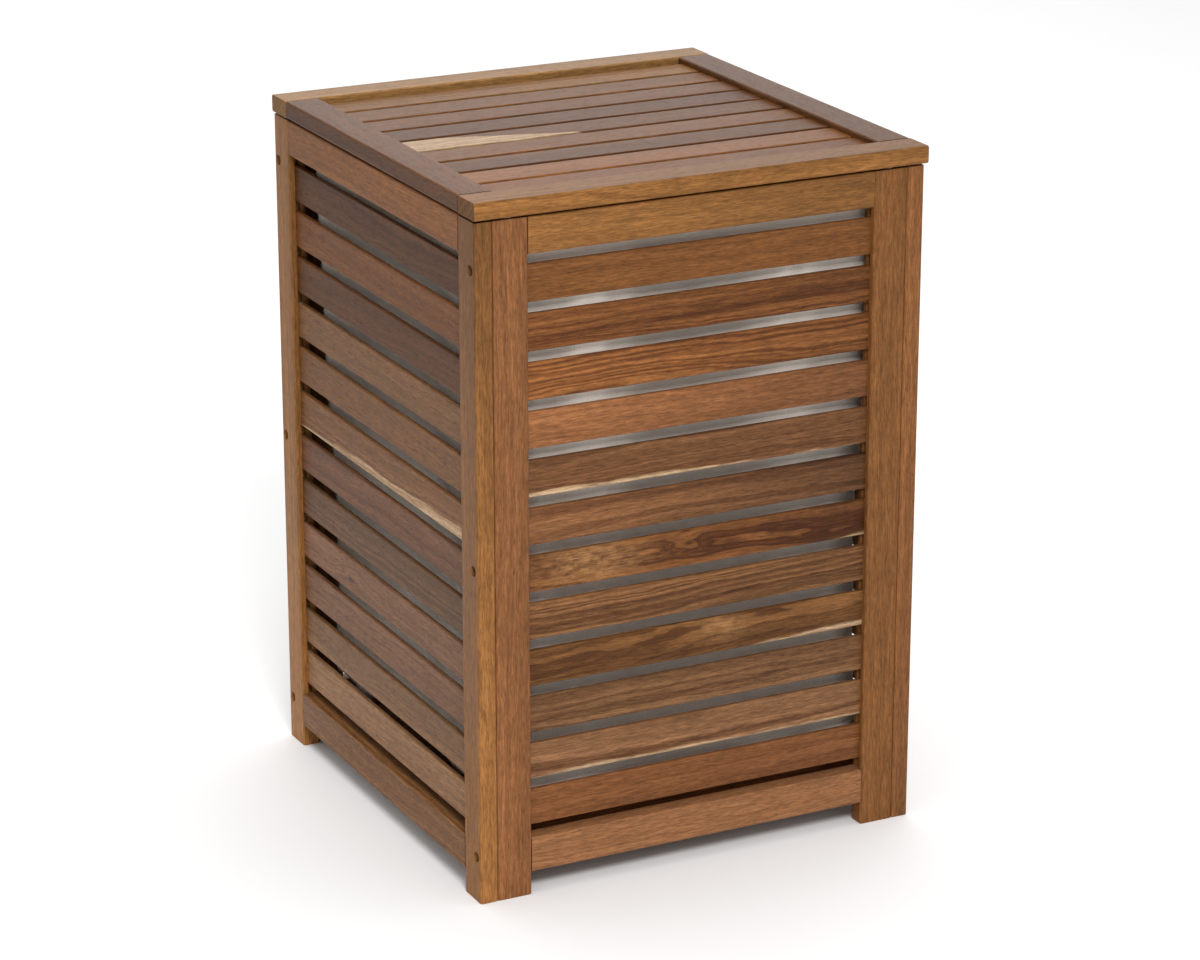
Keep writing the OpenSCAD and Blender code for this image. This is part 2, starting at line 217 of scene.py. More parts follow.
class Shader:
    """A material being wired up, node by node."""

    def __init__(self, name):
        self.material = bpy.data.materials.new(name)
        self.material.use_nodes = True
        self.tree = self.material.node_tree
        self.tree.nodes.clear()

    def node(self, kind, inputs, **settings):
        made = self.tree.nodes.new("ShaderNode" + kind)
        for key, value in settings.items():
            setattr(made, key, value)
        for key, value in inputs.items():
            if isinstance(value, bpy.types.NodeSocket):
                self.tree.links.new(value, made.inputs[key])
            else:
                made.inputs[key].default_value = value
        return made

    def sums(self, operation, *values):
        return self.node("Math", dict(enumerate(values)), operation=operation).outputs[0]

    def times(self, first, second):
        return self.sums("MULTIPLY", first, second)

    def plus(self, first, second):
        return self.sums("ADD", first, second)

    def minus(self, first, second):
        return self.sums("SUBTRACT", first, second)

    def times_plus(self, first, second, third):
        return self.sums("MULTIPLY_ADD", first, second, third)

    def vectors(self, operation, *values):
        return self.node("VectorMath", dict(enumerate(values)), operation=operation).outputs[0]

    def split(self, vector):
        return self.node("SeparateXYZ", {0: vector}).outputs

    def noise(self, place, scale, detail=2.0, roughness=0.5, output="Fac"):
        at = self.vectors("MULTIPLY", place, scale)
        inputs = {"Vector": at, "Scale": 1.0, "Detail": detail, "Roughness": roughness}
        return self.node("TexNoise", inputs).outputs[output]

    def line_noise(self, at, detail=2.0, roughness=0.5):
        inputs = {"W": at, "Scale": 1.0, "Detail": detail, "Roughness": roughness}
        return self.node("TexNoise", inputs, noise_dimensions="1D").outputs["Fac"]

    def step(self, value, low, high, to_low=0.0, to_high=1.0):
        names = ("Value", "From Min", "From Max", "To Min", "To Max")
        inputs = dict(zip(names, (value, low, high, to_low, to_high)))
        return self.node("MapRange", inputs, interpolation_type="SMOOTHSTEP").outputs["Result"]

    def mix(self, amount, first, second, how="MIX"):
        made = self.node("Mix", {0: amount}, data_type="RGBA", blend_type=how)
        for socket, value in ((made.inputs[6], first), (made.inputs[7], second)):
            if isinstance(value, bpy.types.NodeSocket):
                self.tree.links.new(value, socket)
            else:
                socket.default_value = (*value, 1.0)
        return made.outputs[2]

    def of_piece(self, name, output="Fac"):
        made = self.node("Attribute", {}, attribute_type="OBJECT", attribute_name=name)
        return made.outputs[output]

    def of_mesh(self, name, output="Vector"):
        made = self.node("Attribute", {}, attribute_type="GEOMETRY", attribute_name=name)
        return made.outputs[output]

    def surface(self, inputs):
        shader = self.node("BsdfPrincipled", inputs)
        out = self.node("OutputMaterial", {})
        self.tree.links.new(shader.outputs[0], out.inputs[0])
        return self.material


def oiled_acacia(name, roughness=0.42, specular=0.125):
    """Acacia with dark growth bands, fine fibres, pores, knots and pale sapwood edges."""
    s = Shader(name)
    grain = s.of_mesh("grain")
    seed = s.of_piece("seed")
    shift = s.node("CombineXYZ", {0: s.times(seed, 3.17), 1: seed, 2: seed}).outputs[0]
    place = s.vectors("ADD", grain, shift)
    x, y, z = s.split(grain)

    # knots push the growth bands aside
    knot = s.split(s.of_piece("knot", "Vector"))
    size = s.plus(knot[2], 0.00001)
    kx = s.sums("DIVIDE", s.minus(x, knot[0]), s.times(size, 2.2))
    ky = s.sums("DIVIDE", s.minus(y, knot[1]), size)
    away = s.plus(s.times(kx, kx), s.times(ky, ky))
    near_knot = s.sums("EXPONENT", s.times(away, -0.5))
    in_knot = s.sums("EXPONENT", s.times(away, -9.0))

    # growth bands round a pith line that wanders beside the board
    pith = s.split(s.of_piece("pith", "Vector"))
    wander = s.noise(place, (2.6, 11.0, 11.0), 2.0, 0.5, "Color")
    drift = s.split(s.vectors("SUBTRACT", wander, (0.5, 0.5, 0.5)))
    lean = s.times(x, pith[2])
    y_ring = s.plus(s.minus(y, pith[0]), lean)
    y_ring = s.times_plus(drift[0], 0.034, y_ring)
    z_ring = s.minus(z, pith[1])
    z_ring = s.times_plus(drift[1], 0.026, z_ring)
    squares = s.plus(s.times(y_ring, y_ring), s.times(z_ring, z_ring))
    ring = s.sums("SQRT", squares)
    ring = s.times_plus(near_knot, s.times(size, 1.1), ring)
    ripple = s.noise(place, (17.0, 75.0, 75.0), 2.0, 0.6)
    wave = s.times_plus(near_knot, 0.016, 0.0065)
    ring = s.times_plus(s.minus(ripple, 0.5), wave, ring)
    ring = s.times_plus(ring, 230.0, s.times(seed, 9.0))
    bands = s.line_noise(ring, 3.0, 0.62)
    broad = s.noise(place, (2.0, 26.0, 26.0), 2.0, 0.55)

    # fibres that wave a little, and pores as short dark dashes
    curl = s.noise(place, (11.0, 30.0, 30.0), 1.0, 0.5, "Color")
    curl = s.vectors("MULTIPLY", s.vectors("SUBTRACT", curl, (0.5, 0.5, 0.5)), (0.0, 0.005, 0.005))
    lines = s.vectors("ADD", place, curl)
    fibres = s.noise(lines, (30.0, 560.0, 560.0), 4.0, 0.70)
    flecks = s.noise(lines, (105.0, 860.0, 860.0), 3.0, 0.70)
    pores = s.noise(lines, (110.0, 1900.0, 1900.0), 1.0, 0.5)
    pores = s.step(pores, 0.60, 0.72)
    ribbon = s.line_noise(s.times_plus(x, 34.0, s.times(seed, 4.0)), 2.0, 0.6)

    heart = s.of_piece("heart", "Color")
    streaks = s.of_piece("streaks")
    dark = s.mix(1.0, heart, (0.36, 0.27, 0.23), "MULTIPLY")
    pale = s.mix(1.0, heart, (1.36, 1.42, 1.55), "MULTIPLY")
    paling = s.times(s.step(bands, 0.50, 0.30), s.times_plus(streaks, 0.70, 0.18))
    colour = s.mix(paling, heart, pale)
    strength = s.times(streaks, s.step(broad, 0.34, 0.60, 0.35, 1.0))
    strength = s.times(s.step(bands, 0.46, 0.62), strength)
    colour = s.mix(strength, colour, dark)

    # one soft dark stripe that runs nearly along the board
    stripe = s.split(s.of_piece("stripe", "Vector"))
    off = s.minus(y, s.times_plus(x, stripe[1], stripe[0]))
    off = s.times_plus(drift[0], 0.018, off)
    off = s.times_plus(s.minus(ripple, 0.5), 0.010, off)
    off = s.sums("DIVIDE", off, s.plus(stripe[2], 0.00001))
    striped = s.sums("EXPONENT", s.times(s.times(off, off), -1.0))
    striped = s.times(striped, s.step(fibres, 0.25, 0.60, 0.85, 0.50))
    colour = s.mix(striped, colour, dark)
    colour = s.mix(s.times(in_knot, 0.85), colour, (0.028, 0.012, 0.006))

    # a golden patch of burr figure
    patch = s.split(s.of_piece("patch", "Vector"))
    wide = s.plus(patch[2], 0.00001)
    px = s.sums("DIVIDE", s.minus(x, patch[0]), s.times(wide, 2.0))
    py = s.sums("DIVIDE", s.minus(y, patch[1]), wide)
    apart = s.plus(s.times(px, px), s.times(py, py))
    gold = s.sums("EXPONENT", s.times(apart, -1.0))
    figure = s.noise(place, (95.0, 210.0, 210.0), 3.0, 0.65)
    gold = s.times(gold, s.step(figure, 0.36, 0.62, 0.35, 1.0))
    colour = s.mix(s.times(gold, 0.80), colour, (0.290, 0.145, 0.056))

    # pale sapwood along one edge, with a wavering line between it and the heartwood
    sap = s.split(s.of_piece("sap", "Vector"))
    edge = s.times_plus(x, sap[2], s.times(y, sap[0]))
    edge = s.times_plus(drift[2], 0.012, edge)
    edge = s.minus(edge, sap[1])
    edge = s.times_plus(s.minus(ripple, 0.5), 0.008, edge)
    edge = s.times_plus(s.minus(fibres, 0.5), 0.003, edge)
    sapwood = s.step(edge, -0.0008, 0.0020)
    sap_colour = s.mix(s.step(bands, 0.35, 0.65), (0.50, 0.35, 0.21), (0.35, 0.21, 0.105))
    colour = s.mix(s.times(sapwood, 0.88), colour, sap_colour)

    # fibres, pores, ribbon light and darker end grain, then painted light: a steady falloff along
    # the board and painted light and shade on its narrow edges
    shade = s.step(fibres, 0.28, 0.72, 0.76, 1.20)
    shade = s.times(shade, s.step(flecks, 0.30, 0.68, 1.16, 0.72))
    shade = s.times(shade, s.step(ribbon, 0.25, 0.75, 0.97, 1.03))
    shade = s.times(shade, s.step(broad, 0.25, 0.75, 0.84, 1.16))
    shade = s.times(shade, s.times_plus(pores, -0.42, 1.0))
    # painted light: brightness changes steadily along the board, standing in for the light falling
    # off across the hamper
    fade = s.times_plus(x, s.of_piece("fade"), 1.0)
    shade = s.times(shade, s.sums("MAXIMUM", fade, 0.3))
    # painted light and shade on the narrow edges, set per board to how brightly each edge is lit
    edge = s.times_plus(s.of_mesh("edge_grain", "Fac"), s.of_piece("edge"), 1.0)
    shade = s.times(shade, edge)
    end_grain = s.of_mesh("end_grain", "Fac")
    shade = s.times(shade, s.times_plus(end_grain, -0.38, 1.0))
    greys = s.node("CombineXYZ", {0: shade, 1: shade, 2: shade}).outputs[0]
    colour = s.mix(1.0, colour, greys, "MULTIPLY")

    height = s.times_plus(pores, -1.0, fibres)
    relief = s.node("Bump", {"Height": height, "Strength": 0.30, "Distance": 0.00016})
    rough = s.step(fibres, 0.2, 0.8, roughness - 0.05, roughness + 0.07)
    rough = s.times_plus(pores, 0.18, rough)
    rough = s.times_plus(end_grain, 0.15, rough)
    return s.surface(
        {
            "Base Color": colour,
            "Roughness": rough,
            "Normal": relief.outputs[0],
            "Specular IOR Level": specular,
        }
    )


PLAIN_BOARD = {
    "fade": 0.0,
    "edge": 0.0,
    "sap": (0.0, 1.0, 0.0),
    "knot": (0.0, 0.0, 0.0),
    "patch": (0.0, 0.0, 0.0),
    "stripe": (1.0, 0.0, 0.001),
}


def choose_board(piece, tone, streaks, pith, **marks):
    """Notes on a piece which board it was cut from; the acacia reads these.
    tone is the heartwood's colour, streaks how strong its dark bands are, and pith
    (across, through, lean) the line that its growth rings go round.
    The marks: fade is painted light, how much lighter it is painted per metre along the grain,
    standing in for light falling off across the hamper, and edge is painted light and shade,
    how much lighter its narrow edges are painted than its face. sap is (side, distance from
    the middle where the sapwood starts, run-out), and stripe (distance from the middle,
    slope, width). knot and patch are (along, across, size) from the middle of the board."""
    piece["seed"] = round(random.Random(piece.name).uniform(0.0, 9.0), 3)
    piece["heart"] = [float(part) for part in tone]
    piece["streaks"] = float(streaks)
    piece["pith"] = [float(part) for part in pith]
    for mark, plain in PLAIN_BOARD.items():
        value = marks.get(mark) or plain
        piece[mark] = float(value) if mark in ("fade", "edge") else [float(part) for part in value]


def wooden(piece, along, material, slot, body, *nodes):
    """Finishes a wooden piece and sets it in place of its CAD node."""
    soften(piece)
    lay_grain(piece, along)
    piece.data.materials.clear()
    piece.data.materials.append(material)
    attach(piece, body)
    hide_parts(*nodes)
    return piece


# heartwood colours of the boards that come from the mixed pile
AMBER = (0.200, 0.079, 0.025)
GOLDEN = (0.215, 0.091, 0.024)
RUSSET = (0.150, 0.046, 0.013)
SALMON = (0.210, 0.083, 0.031)
UMBER = (0.125, 0.049, 0.017)
TAWNY = (0.165, 0.065, 0.022)
HONEY = (0.233, 0.105, 0.040)
MAUVE = (0.133, 0.059, 0.029)

frame_acacia = oiled_acacia("frame_acacia", roughness=0.43)

# fade and edge here are painted light: fade paints each stile darker along its length as the light
# falls off across it, and edge paints the left front stile's narrow edges lighter where they catch
# the lamp
STILES = {
    # name: (outer face axis and side, end side, board)
    "front_left_stile": (
        *(Y, -1, -1),
        dict(tone=(0.226, 0.0891, 0.0310), streaks=0.14, pith=(0.060, 0.030, 0.010), fade=-0.30),
    ),
    "front_right_stile": (
        *(Y, -1, 1),
        dict(tone=(0.197, 0.0786, 0.0221), streaks=0.12, pith=(0.050, 0.040, -0.006), fade=-0.20),
    ),
    "back_right_stile": (Y, 1, 1, dict(tone=AMBER, streaks=0.35, pith=(0.045, 0.020, 0.012))),
    "back_left_stile": (Y, 1, -1, dict(tone=TAWNY, streaks=0.40, pith=(0.035, 0.030, 0.0))),
    "left_front_stile": (
        *(X, -1, -1),
        dict(
            tone=(0.205, 0.0865, 0.0242), streaks=0.20, pith=(0.050, 0.035, 0.004),
            fade=-1.10, edge=0.23,
        ),
    ),
    "left_back_stile": (
        *(X, -1, 1),
        dict(tone=(0.248, 0.108, 0.0311), streaks=0.18, pith=(0.060, 0.030, -0.008), fade=-0.70),
    ),
    "right_front_stile": (X, 1, -1, dict(tone=AMBER, streaks=0.35, pith=(0.045, 0.030, 0.006))),
    "right_back_stile": (X, 1, 1, dict(tone=GOLDEN, streaks=0.30, pith=(0.040, 0.045, 0.0))),
}

for name, (face, side, end, board) in STILES.items():
    low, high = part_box(name)
    stile = planed_bar(name + "_wood", low, high, Z, STOCK_R)
    run = 1 - face
    inner = low[run] if end > 0 else high[run]
    middle = (low[face] + high[face]) / 2
    groove_low = [0.0, 0.0, FOOT]
    groove_high = [0.0, 0.0, GROOVE_TOP]
    groove_low[face] = middle - GROOVE_W / 2
    groove_high[face] = middle + GROOVE_W / 2
    groove_low[run] = min(inner - end * CLEAR_CUT, inner + end * GROOVE_DEEP)
    groove_high[run] = max(inner - end * CLEAR_CUT, inner + end * GROOVE_DEEP)
    cutters = [block_cutter(groove_low, groove_high)]
    if face == X:
        for height in SCREW_Z:
            top = Vector((side * BODY / 2, end * (BODY / 2 - STOCK_T / 2), height))
            profile = (
                (-CLEAR_CUT, COUNTERBORE_R),
                (COUNTERBORE_DEEP, COUNTERBORE_R),
                (COUNTERBORE_DEEP, SHANK_R),
                (STOCK_T + CLEAR_CUT, SHANK_R),
            )
            cutters.append(turned_cutter(profile, top, (-side, 0, 0)))
    cut(stile, *cutters)
    choose_board(stile, **board)
    wooden(stile, Z, frame_acacia, "frame_wood", "hamper", name)


# ---------------------------------------------------------------- rails
# A top and a bottom rail between each pair of stiles, of the same planed stock.
# Their ends are cut to tongues that are glued into the stiles' grooves.

HAUNCH = 0.008
TONGUE_T = 0.005
TONGUE_EASE = 0.0002
STUD_Z = BODY_H - STOCK_W / 2

# fade here is painted light: it paints each rail darker along its length as the light falls off
# across it
RAILS = {
    "front_top_rail": dict(
        tone=(0.204, 0.0874, 0.0237), streaks=0.10, pith=(0.070, 0.050, 0.004),
        fade=-1.2,
    ),
    "front_bottom_rail": dict(
        tone=(0.259, 0.112, 0.0456), streaks=0.12, pith=(0.060, 0.060, -0.010),
    ),
    "right_top_rail": dict(tone=GOLDEN, streaks=0.25, pith=(0.050, 0.030, 0.008)),
    "right_bottom_rail": dict(tone=AMBER, streaks=0.30, pith=(0.030, 0.020, 0.004)),
    "back_top_rail": dict(tone=AMBER, streaks=0.25, pith=(0.045, 0.035, 0.0)),
    "back_bottom_rail": dict(tone=TAWNY, streaks=0.35, pith=(0.030, 0.030, 0.008)),
    "left_top_rail": dict(
        tone=(0.199, 0.0750, 0.0202), streaks=0.25, pith=(0.050, 0.040, 0.006),
        fade=-0.5,
    ),
    "left_bottom_rail": dict(
        tone=(0.199, 0.0869, 0.0303), streaks=0.35, pith=(0.040, 0.030, -0.006),
    ),
}

for name, board in RAILS.items():
    low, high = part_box(name)
    face = Y if name.startswith(("front", "back")) else X
    run = 1 - face
    low[run] += GROOVE_DEEP
    high[run] -= GROOVE_DEEP
    middle = (low[face] + high[face]) / 2
    tongue_low, tongue_high = low[Z] + TONGUE_EASE, high[Z] - TONGUE_EASE
    if "top" in name:
        tongue_high = high[Z] - HAUNCH
    thick = (middle - TONGUE_T / 2, middle + TONGUE_T / 2)
    if run == X:
        tenon = (GROOVE_DEEP, *thick, tongue_low, tongue_high)
    else:
        tenon = (GROOVE_DEEP, tongue_low, tongue_high, *thick)
    rail = planed_bar(name + "_wood", low, high, run, STOCK_R, tenon)
    choose_board(rail, **board)
    wooden(rail, run, frame_acacia, "frame_wood", "hamper", name)


# ---------------------------------------------------------------- front slats
# Twelve thin slats let into the grooves of the front stiles, cut from boards that
# differ a good deal in colour: some streaked, some with a pale sapwood edge or a knot.

SLAT_R = 0.0012

slat_acacia = oiled_acacia("slat_acacia", roughness=0.45)

# fade here is painted light: it paints each slat darker along its length as the light falls off
# across the front
FRONT_SLATS = (
    dict(tone=(0.158, 0.0601, 0.0162), streaks=0.15, pith=(0.060, 0.050, 0.004), fade=-0.3),
    dict(
        tone=(0.157, 0.0565, 0.0153), streaks=0.65, pith=(0.034, 0.012, -0.012),
        fade=-1.1, stripe=(-0.0040, 0.035, 0.0030),
    ),
    dict(
        tone=(0.199, 0.0729, 0.0200), streaks=0.70, pith=(-0.030, 0.012, -0.030),
        fade=-1.36, stripe=(0.0050, 0.030, 0.0018),
    ),
    dict(tone=(0.209, 0.0824, 0.0299), streaks=0.15, pith=(0.050, 0.060, 0.008), fade=-1.83),
    dict(
        tone=(0.151, 0.0632, 0.0234), streaks=0.65, pith=(0.030, 0.020, 0.010),
        fade=-0.7, sap=(-1, 0.0126, -0.016),
    ),
    dict(
        tone=(0.158, 0.0664, 0.0249), streaks=0.45, pith=(0.040, 0.040, 0.010),
        fade=-2.7, stripe=(0.0120, 0.020, 0.0025),
    ),
    dict(
        tone=(0.139, 0.0500, 0.0135), streaks=0.85, pith=(0.004, 0.012, 0.0),
        fade=-1.7, sap=(-1, 0.0178, 0.045),
        knot=(-0.010, 0.004, 0.0062), patch=(-0.100, 0.002, 0.024),
    ),
    dict(
        tone=(0.170, 0.0747, 0.0270), streaks=0.70, pith=(-0.030, 0.014, 0.010),
        fade=-0.6, stripe=(-0.0055, -0.012, 0.0030),
    ),
    dict(
        tone=(0.146, 0.0601, 0.0171), streaks=0.75, pith=(0.006, 0.014, -0.035),
        sap=(-1, 0.0176, 0.035), stripe=(-0.0090, -0.020, 0.0030), patch=(0.024, 0.006, 0.011),
    ),
    dict(
        tone=(0.164, 0.0764, 0.0311), streaks=0.50, pith=(0.024, 0.026, 0.012),
        stripe=(-0.0020, 0.020, 0.0022),
    ),
    dict(
        tone=(0.224, 0.103, 0.0436), streaks=0.60, pith=(0.020, 0.024, 0.016),
        sap=(-1, 0.0122, 0.010), stripe=(-0.0080, 0.004, 0.0022),
    ),
    dict(tone=(0.195, 0.0726, 0.0238), streaks=0.25, pith=(0.040, 0.050, -0.010), fade=-1.1),
)

for number, board in enumerate(FRONT_SLATS, start=1):
    name = f"front_slat_{number}"
    low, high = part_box(name)
    slat = planed_bar(name + "_wood", low, high, X, SLAT_R)
    choose_board(slat, **board)
    wooden(slat, X, slat_acacia, "slat_wood", "hamper", name)


# ---------------------------------------------------------------- side and back slats
# Twelve more slats in each of the other three panels, made and let in the same way.

SLATS = 12
SLAT_GAP = 0.0095
SLAT_H = (BODY_H - FOOT - 2 * STOCK_W - (SLATS + 1) * SLAT_GAP) / SLATS
SLAT_LOW = FOOT + STOCK_W + SLAT_GAP

LEFT_SLATS = (
    dict(tone=(0.0819, 0.0295, 0.0080), streaks=0.45, pith=(0.040, 0.030, 0.010)),
    dict(tone=(0.144, 0.0524, 0.0141), streaks=0.20, pith=(0.050, 0.050, 0.004)),
    dict(tone=(0.100, 0.0366, 0.0099), streaks=0.35, pith=(0.030, 0.040, 0.012)),
    dict(tone=(0.172, 0.0778, 0.0288), streaks=0.30, pith=(0.026, 0.030, 0.0)),
    dict(tone=(0.173, 0.0741, 0.0257), streaks=0.25, pith=(0.045, 0.045, -0.006)),
    dict(
        tone=(0.174, 0.0754, 0.0264), streaks=0.35, pith=(0.030, 0.024, 0.010),
        sap=(-1, 0.0100, -0.030),
    ),
    dict(tone=(0.131, 0.0549, 0.0237), streaks=0.35, pith=(0.024, 0.030, 0.012)),
    dict(tone=(0.116, 0.0544, 0.0216), streaks=0.40, pith=(0.030, 0.020, 0.006)),
    dict(
        tone=(0.190, 0.0876, 0.0417), streaks=0.40, pith=(0.014, 0.022, 0.012),
        knot=(0.070, -0.004, 0.008),
    ),
    dict(tone=(0.169, 0.0775, 0.0368), streaks=0.30, pith=(0.040, 0.040, 0.004)),
    dict(tone=(0.184, 0.0902, 0.0376), streaks=0.35, pith=(0.020, 0.030, -0.008)),
    dict(tone=(0.261, 0.132, 0.0584), streaks=0.30, pith=(0.040, 0.030, 0.006)),
)


def any_board(chooser):
    """A board picked from the mixed pile, for places where any will do."""
    tone = chooser.choice((AMBER, RUSSET, SALMON, UMBER, TAWNY, HONEY, MAUVE))
    lighter = chooser.uniform(0.85, 1.12)
    pith = (chooser.uniform(-0.02, 0.06), chooser.uniform(0.015, 0.05), chooser.uniform(-0.03, 0.03))
    sap = None
    if chooser.random() < 0.22:
        sap = (chooser.choice((-1, 1)), chooser.uniform(0.009, 0.013), chooser.uniform(-0.02, 0.02))
    knot = None
    if chooser.random() < 0.12:
        along, across = chooser.uniform(-0.12, 0.12), chooser.uniform(-0.006, 0.006)
        knot = (along, across, chooser.uniform(0.006, 0.010))
    streaks = chooser.uniform(0.15, 0.75)
    tone = [part * lighter for part in tone]
    return dict(tone=tone, streaks=streaks, pith=pith, sap=sap, knot=knot)


for panel in ("left", "right", "back"):
    pile = random.Random(panel)
    low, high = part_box(panel + "_slats")
    run = X if panel == "back" else Y
    for number in range(SLATS):
        bottom = SLAT_LOW + (SLATS - 1 - number) * (SLAT_H + SLAT_GAP)
        slat_low = Vector((low.x, low.y, bottom))
        slat_high = Vector((high.x, high.y, bottom + SLAT_H))
        slat = planed_bar(f"{panel}_slat_{number + 1}_wood", slat_low, slat_high, run, SLAT_R)
        board = LEFT_SLATS[number] if panel == "left" else any_board(pile)
        choose_board(slat, **board)
        wooden(slat, run, slat_acacia, "slat_wood", "hamper", panel + "_slats")


# ---------------------------------------------------------------- corner screws
# Twelve hexagon-socket screws of dark steel at the bottoms of the counterbores in the
# side panels, six to a side; they run into the edges of the front and back stiles.


def metal(name, colour, roughness, scratch, dirt):
    """Metal with fine scratches and a patchy dull film."""
    s = Shader(name)
    place = s.node("TexCoord", {}).outputs["Object"]
    scratches = s.noise(place, (220.0, 2600.0, 2600.0), 2.0, 0.6)
    film = s.noise(place, (180.0, 180.0, 180.0), 3.0, 0.6)
    dull = tuple(part * (1.0 - dirt) for part in colour)
    tint = s.mix(s.step(film, 0.40, 0.70), colour, dull)
    rough = s.step(film, 0.3, 0.7, roughness - 0.07, roughness + 0.10)
    rough = s.times_plus(scratches, scratch, rough)
    relief = s.node("Bump", {"Height": scratches, "Strength": 0.25, "Distance": 0.00004})
    return s.surface(
        {
            "Base Color": tint,
            "Metallic": 1.0,
            "Roughness": rough,
            "Normal": relief.outputs[0],
        }
    )


def keep_node(name, material, ease):
    """Keeps a CAD node as it is and gives it a finish, with its edges eased a little."""
    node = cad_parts[name]
    node.data.materials.clear()
    node.data.materials.append(material)
    join = node.modifiers.new("join", "WELD")
    join.merge_threshold = 0.000005
    round_over = node.modifiers.new("ease", "BEVEL")
    round_over.width = ease
    round_over.segments = 2
    round_over.limit_method = "ANGLE"
    round_over.angle_limit = math.radians(40)
    round_over.harden_normals = False
    soften(node)


dark_steel = metal("dark_steel", (0.18, 0.165, 0.15), 0.42, 0.10, 0.35)
keep_node("corner_screws", dark_steel, 0.0002)


# ---------------------------------------------------------------- base
# Two cleats screwed to the inside of the side panels' bottom rails carry seven thick
# slats, which are screwed down through their ends and can be lifted out for cleaning.

CLEAT_R = 0.0012
BASE_SLATS = 7
BASE_GAP = 0.014
BASE_SLAT_R = 0.0015
INSIDE = BODY - 2 * STOCK_T

base_acacia = oiled_acacia("base_acacia", roughness=0.50)

for side in ("left", "right"):
    name = side + "_base_cleat"
    low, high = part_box(name)
    cleat = planed_bar(name + "_wood", low, high, Y, CLEAT_R)
    choose_board(cleat, UMBER, 0.4, (0.03, 0.03, 0.0))
    wooden(cleat, Y, base_acacia, "base_wood", "hamper", name)

low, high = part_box("base_slats")
base_w = (INSIDE - (BASE_SLATS + 1) * BASE_GAP) / BASE_SLATS
pile = random.Random("base")
for number in range(BASE_SLATS):
    front = -INSIDE / 2 + BASE_GAP + number * (base_w + BASE_GAP)
    slat_low = Vector((low.x, front, low.z))
    slat_high = Vector((high.x, front + base_w, high.z))
    slat = planed_bar(f"base_slat_{number + 1}_wood", slat_low, slat_high, X, BASE_SLAT_R)
    choose_board(slat, **any_board(pile))
    wooden(slat, X, base_acacia, "base_wood", "hamper", "base_slats")

screw_plate = metal("plated_screws", (0.62, 0.60, 0.55), 0.34, 0.10, 0.25)
keep_node("base_screws", screw_plate, 0.0002)


# ---------------------------------------------------------------- laundry bag
# An open sack of off-white cotton: a strip for the walls, closed with one felled
# seam, and a square sewn in for the bottom. A doubled hem with eight buttonholes hangs
# it from the studs, so its edge is slack and its walls fall in folds between them.

BAG_HALF = 0.1872
BAG_TOP = 0.577
BAG_LOW = 0.0800
BAG_CORNER = 0.038
BAG_TAPER = 0.005
BILLOW_OUT = (0.0012, 0.0005, 0.0, 0.0035)
SET_IN = (0.002, 0.004, 0.007, 0.0)
EDGE_SLACK = (0.0050, 0.0045, 0.0050, 0.0015)
EXTRA_FOLDS = (1.3, 1.3, 1.0, 0.0)
BILLOW_IN = 0.0050
SAG_IN = 0.0075
WALL_STEPS = 72
RING_POINTS = 288
FLOOR_RINGS = 22
FLOOR_SAG = 0.0035
CLOTH_T = 0.0007
WEAVE_ROUND = 1.504
WEAVE_TALL = 0.495
THREAD_PITCH = 0.0009
BAG_TALL = BAG_TOP - BAG_LOW
STUD_AT = (0.0945, 0.1025)
STUD_FLAT = (0.013, 0.011)

# the cloth's ridges below the studs, and its crumples: size across, size up, depth
RIDGE_W = 0.30
TAUT_W = 0.15
PULL_W = 0.17
PULL_DEEP = 0.0011
EDGE_DROP = 0.0026
FOLDS = (16, 5.5, 0.0026)
PLEATS = (62, 2.2, 0.0014)
CREASES = (40, 21, 0.0011)
FLOOR_FOLDS = (24, 3.0, 0.0016)
FLOOR_CREASES = (70, 8.0, 0.0006)
NEAREST_FRAME = 0.0002
INTO_GAPS = 0.0040


def bag_outline(share, half, corner):
    """A point and its outward direction on the bag's rounded square outline."""
    straight = 2 * (half - corner)
    bend = math.pi * corner / 2
    side_length = straight + bend
    at = (share % 1.0) * 4 * side_length
    quarter = int(at // side_length) % 4
    at -= quarter * side_length
    if at < straight:
        point = Vector((half, at - straight / 2, 0))
        outward = Vector((1, 0, 0))
        along = (at - straight / 2) / (straight / 2)
    else:
        angle = (at - straight) / corner
        outward = Vector((math.cos(angle), math.sin(angle), 0))
        point = Vector((half - corner, half - corner, 0)) + outward * corner
        along = 1.0
    turn = Matrix.Rotation(quarter * math.pi / 2, 3, "Z")
    return turn @ point, turn @ outward, along, quarter


def hump(distance, width):
    """1 in the middle of a bump, falling to 0 beyond its width."""
    return math.exp(-(distance / width) ** 2)


def crumple(point, height, kind, x_shift=0, z_shift=0):
    """How far a kind of crumple moves the cloth at a point."""
    across, up, deep = kind
    where = Vector((point.x * across + x_shift, point.y * across, height * up + z_shift))
    return noise.noise(where) * deep


def eased(value, start, end):
    """0 before start, 1 after end, and a smooth rise between them."""
    share = min(1.0, max(0.0, (value - start) / (end - start)))
    return share * share * (3 - 2 * share)


def bag_size(height):
    """Half the bag's width and its corner radius at a height."""
    corner = BAG_CORNER + 0.014 * math.sin(math.pi * height ** 0.8) ** 2
    return BAG_HALF - BAG_TAPER * (1 - height), corner


